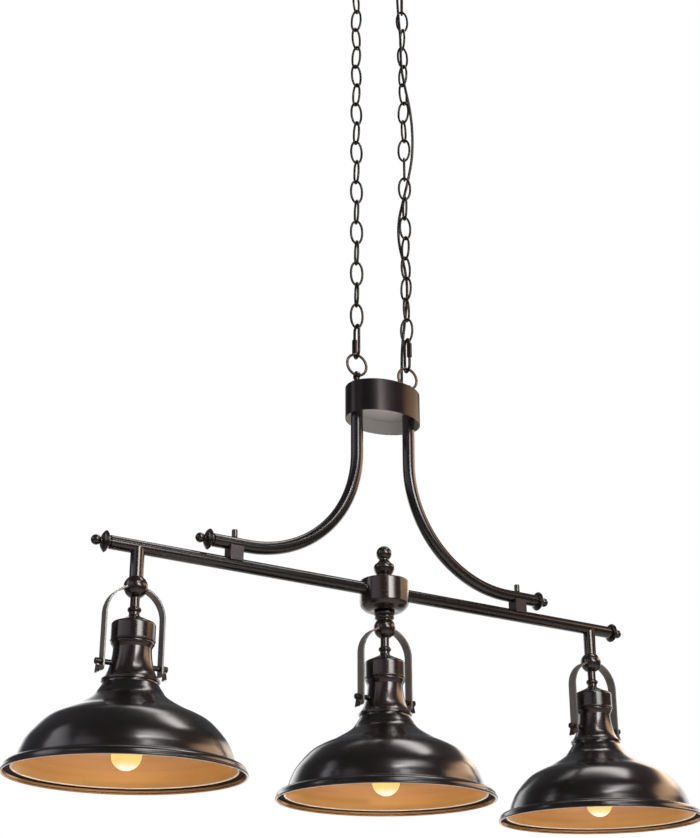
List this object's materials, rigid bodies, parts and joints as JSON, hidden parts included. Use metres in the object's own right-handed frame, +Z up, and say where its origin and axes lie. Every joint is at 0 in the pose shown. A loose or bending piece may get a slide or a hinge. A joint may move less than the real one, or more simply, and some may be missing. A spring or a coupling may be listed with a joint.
{
  "type": "linear pendant light",
  "caption": "Linear pendant with domed metal shades on yokes under a bar, hung by bowed arms, an oval can and twin chains from a ceiling canopy.",
  "frame": {"origin": "centre of the ceiling crossbar's screw slots, on the ceiling plane", "axes": "+Z up into the ceiling, +X along the lamp bar towards the corded chain, -Y towards the room"},
  "size_m": [1.213, 0.3448, 1.6988],
  "materials": {
    "bronze": "glossy oil-rubbed bronze",
    "shade_bronze": "glossy bronze outside, warm copper inside",
    "strap_bronze": "satin bronze",
    "cover_grey": "satin grey bronze",
    "steel": "zinc plated",
    "cord_black": "smooth black sheath",
    "black_plastic": "moulded",
    "holder_plastic": "moulded",
    "bulb_glass": "frosted warm",
    "bulb_base": "rolled"
  },
  "bodies": {
    "canopy": {"ceiling_crossbar": "steel", "canopy_cup": "bronze", "canopy_studs": "steel", "canopy_knobs": "bronze", "canopy_eyelets": "bronze", "canopy_eyelet_nuts": "steel", "canopy_cord_bushing": "black_plastic"},
    "top_rings": {"top_rings": "bronze"},
    "left_chain": {"chain_left": "bronze", "quick_links_left": "bronze", "quick_link_nuts_left": "bronze"},
    "right_chain": {"chain_right": "bronze", "quick_links_right": "bronze", "quick_link_nuts_right": "bronze", "supply_cord": "cord_black"},
    "bottom_rings": {"bottom_rings": "bronze"},
    "fixture": {"can_shell": "bronze", "can_cover": "cover_grey", "can_eyelets": "bronze", "can_eyelet_nuts": "steel", "can_cord_bushing": "black_plastic", "arm_left": "bronze", "arm_right": "bronze", "arm_nuts": "steel", "arm_finials": "bronze", "bar_left": "bronze", "bar_right": "bronze", "bar_finials": "bronze", "hub_body": "bronze", "hub_finial": "bronze", "hub_collar": "bronze", "saddle_blocks": "bronze", "saddle_bolts": "bronze", "droppers": "bronze", "lamp_balls": "bronze", "lamp_stems": "bronze", "lamp_caps": "bronze", "lampholders": "holder_plastic", "yoke_studs": "bronze", "left_yoke": "strap_bronze", "left_neck": "bronze", "left_shade": "shade_bronze", "middle_yoke": "strap_bronze", "middle_neck": "bronze", "middle_shade": "shade_bronze", "right_yoke": "strap_bronze", "right_neck": "bronze", "right_shade": "shade_bronze"},
    "left_thumb_screw_left": {"left_thumb_screw_left": "bronze"},
    "left_thumb_screw_right": {"left_thumb_screw_right": "bronze"},
    "left_bulb": {"left_bulb_glass": "bulb_glass", "left_bulb_base": "bulb_base"},
    "middle_thumb_screw_left": {"middle_thumb_screw_left": "bronze"},
    "middle_thumb_screw_right": {"middle_thumb_screw_right": "bronze"},
    "middle_bulb": {"middle_bulb_glass": "bulb_glass", "middle_bulb_base": "bulb_base"},
    "right_thumb_screw_left": {"right_thumb_screw_left": "bronze"},
    "right_thumb_screw_right": {"right_thumb_screw_right": "bronze"},
    "right_bulb": {"right_bulb_glass": "bulb_glass", "right_bulb_base": "bulb_base"}
  },
  "joints": [
    {"name": "front_swing", "type": "hinge", "parent": "canopy", "child": "top_rings", "pos_m": [0, 0, -0.047], "axis": [1, 0, 0], "range_deg": [-12, 12], "deforming": ["supply_cord"]},
    {"name": "side_sway", "type": "hinge", "parent": "top_rings", "child": "left_chain", "pos_m": [-0.052, 0, -0.0661], "axis": [0, 1, 0], "range_deg": [-10, 10], "deforming": ["supply_cord"]},
    {"name": "right_chain_sway", "type": "hinge", "parent": "top_rings", "child": "right_chain", "pos_m": [0.052, 0, -0.0661], "axis": [0, 1, 0], "range_deg": [-10, 10]},
    {"name": "level_hang", "type": "hinge", "parent": "left_chain", "child": "bottom_rings", "pos_m": [-0.052, 0, -0.9632], "axis": [0, 1, 0], "range_deg": [-10, 10]},
    {"name": "fixture_tilt", "type": "hinge", "parent": "bottom_rings", "child": "fixture", "pos_m": [0, 0, -0.9823], "axis": [1, 0, 0], "range_deg": [-10, 10], "deforming": ["supply_cord"]},
    {"name": "left_thumb_screw_left_turn", "type": "hinge", "parent": "fixture", "child": "left_thumb_screw_left", "pos_m": [-0.4793, 0, -1.5398], "axis": [-1, 0, 0], "continuous": true},
    {"name": "left_thumb_screw_right_turn", "type": "hinge", "parent": "fixture", "child": "left_thumb_screw_right", "pos_m": [-0.3887, 0, -1.5398], "axis": [1, 0, 0], "continuous": true},
    {"name": "left_bulb_screw", "type": "hinge", "parent": "fixture", "child": "left_bulb", "pos_m": [-0.434, 0, -1.6263], "axis": [0, 0, 1], "continuous": true},
    {"name": "middle_thumb_screw_left_turn", "type": "hinge", "parent": "fixture", "child": "middle_thumb_screw_left", "pos_m": [-0.0453, 0, -1.5398], "axis": [-1, 0, 0], "continuous": true},
    {"name": "middle_thumb_screw_right_turn", "type": "hinge", "parent": "fixture", "child": "middle_thumb_screw_right", "pos_m": [0.0453, 0, -1.5398], "axis": [1, 0, 0], "continuous": true},
    {"name": "middle_bulb_screw", "type": "hinge", "parent": "fixture", "child": "middle_bulb", "pos_m": [0, 0, -1.6263], "axis": [0, 0, 1], "continuous": true},
    {"name": "right_thumb_screw_left_turn", "type": "hinge", "parent": "fixture", "child": "right_thumb_screw_left", "pos_m": [0.3887, 0, -1.5398], "axis": [-1, 0, 0], "continuous": true},
    {"name": "right_thumb_screw_right_turn", "type": "hinge", "parent": "fixture", "child": "right_thumb_screw_right", "pos_m": [0.4793, 0, -1.5398], "axis": [1, 0, 0], "continuous": true},
    {"name": "right_bulb_screw", "type": "hinge", "parent": "fixture", "child": "right_bulb", "pos_m": [0.434, 0, -1.6263], "axis": [0, 0, 1], "continuous": true}
  ],
  "couplings": [
    {"joint": "right_chain_sway", "follows": "side_sway", "ratio": 1},
    {"joint": "level_hang", "follows": "side_sway", "ratio": -1}
  ]
}
